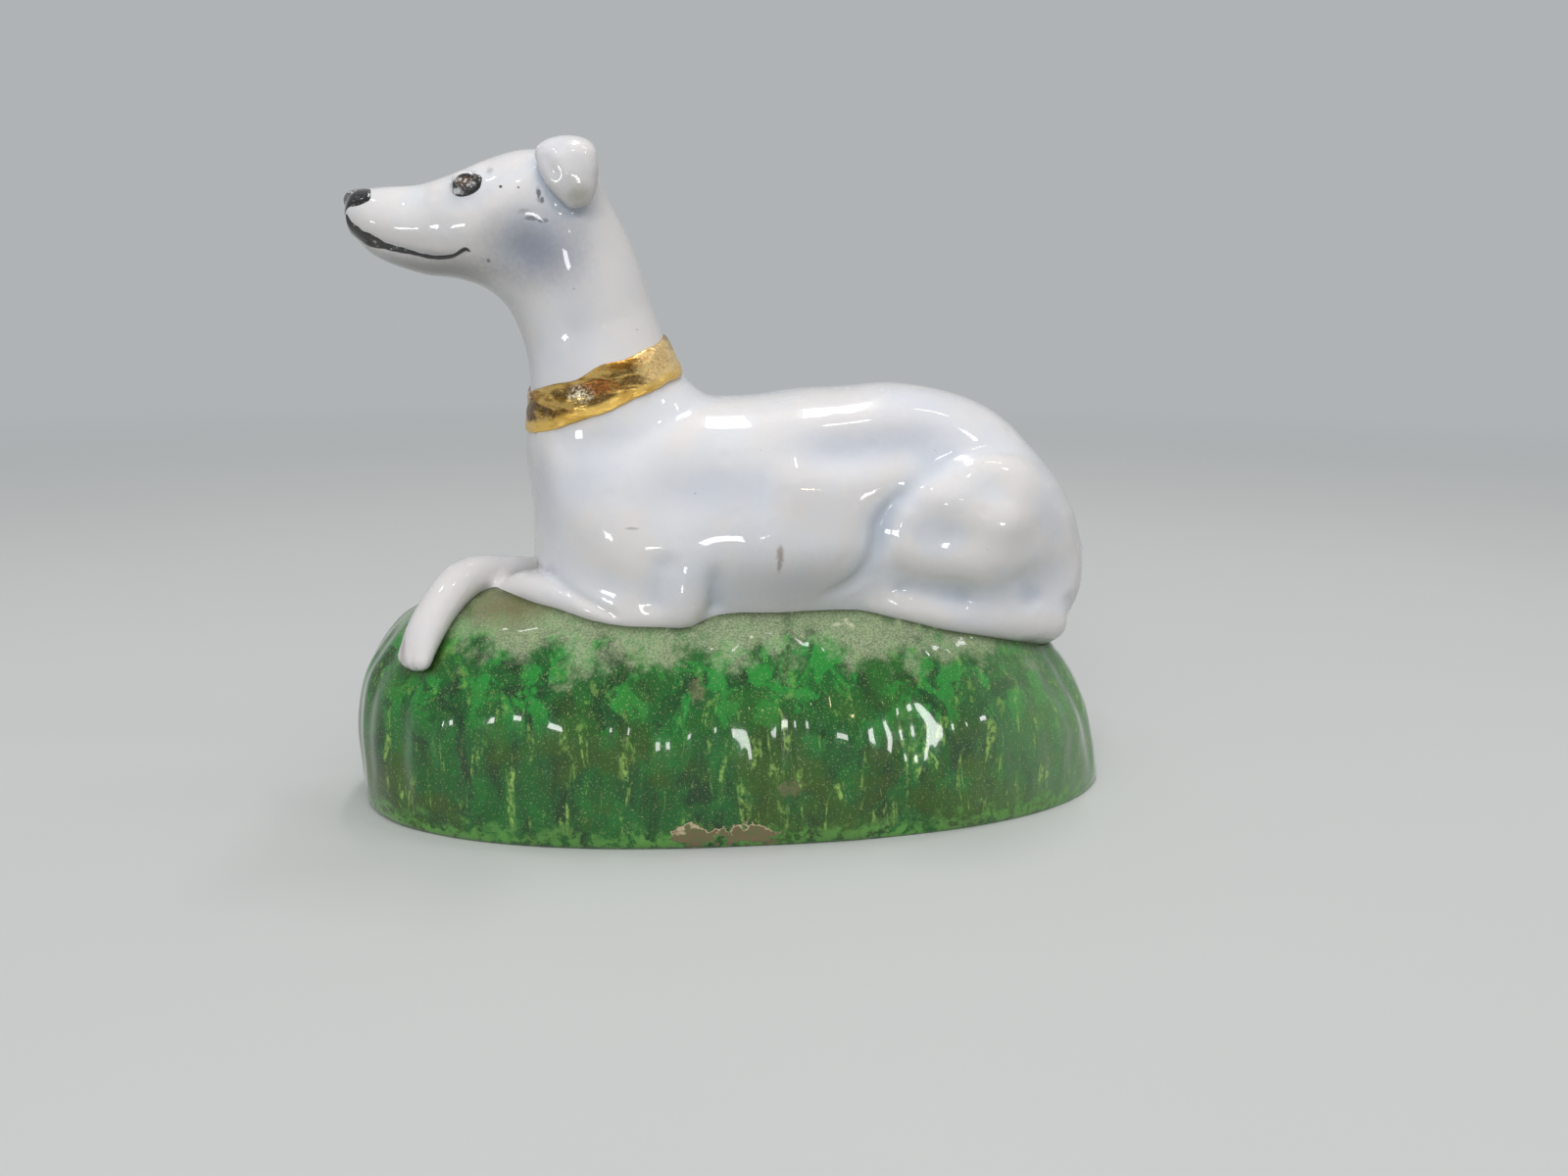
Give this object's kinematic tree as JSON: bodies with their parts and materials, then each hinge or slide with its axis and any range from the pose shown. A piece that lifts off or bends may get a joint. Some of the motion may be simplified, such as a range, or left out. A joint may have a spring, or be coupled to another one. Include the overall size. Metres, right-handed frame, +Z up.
{
  "type": "pottery dog figure",
  "caption": "Small glazed pottery whippet lying on a green grassy mound, head raised, forepaws crossed, with a gilt collar.",
  "frame": {"origin": "middle of the figure's bounding box, on the plane that the mound's foot rests on", "axes": "+X from the dog's nose towards its rump along the mound, +Y towards the dog's right side, +Z up"},
  "size_m": [0.061, 0.0278, 0.0499],
  "materials": {
    "white_glaze": "cool white glaze, glossy",
    "green_glaze": "mottled green glaze with yellow-green drips, glossy",
    "gilding": "fired gilding, burnished and a little worn",
    "black_enamel": "brown-black overglaze enamel, glossy"
  },
  "bodies": {
    "root": {"mound_base": "green_glaze", "torso": "white_glaze", "neck_and_head": "white_glaze", "left_ear": "white_glaze", "right_ear": "white_glaze", "left_foreleg": "white_glaze", "right_foreleg": "white_glaze", "left_hind_leg": "white_glaze", "right_hind_leg": "white_glaze", "tail": "white_glaze", "collar_band": "gilding"}
  },
  "joints": []
}
